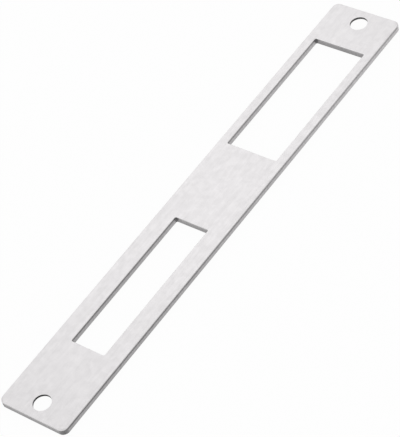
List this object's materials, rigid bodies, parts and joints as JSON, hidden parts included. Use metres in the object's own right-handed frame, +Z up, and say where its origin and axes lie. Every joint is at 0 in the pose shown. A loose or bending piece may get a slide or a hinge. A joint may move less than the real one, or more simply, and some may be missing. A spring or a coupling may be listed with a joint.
{
  "type": "door strike plate",
  "caption": "Flat steel strike plate with round corners, a wide latch window, a narrow bolt window, and a countersunk screw hole near each end.",
  "frame": {"origin": "middle of the underside, the face the plate lies on and from which its screw holes are countersunk", "axes": "+Y along the plate towards the end with the wide latch window, +X across the plate, +Z up through its thickness to the plain face that the picture shows"},
  "size_m": [0.024, 0.17, 0.002],
  "materials": {
    "satin_steel": "fine lengthwise brushed satin steel"
  },
  "bodies": {
    "root": {"strike_plate": "satin_steel"}
  },
  "joints": []
}
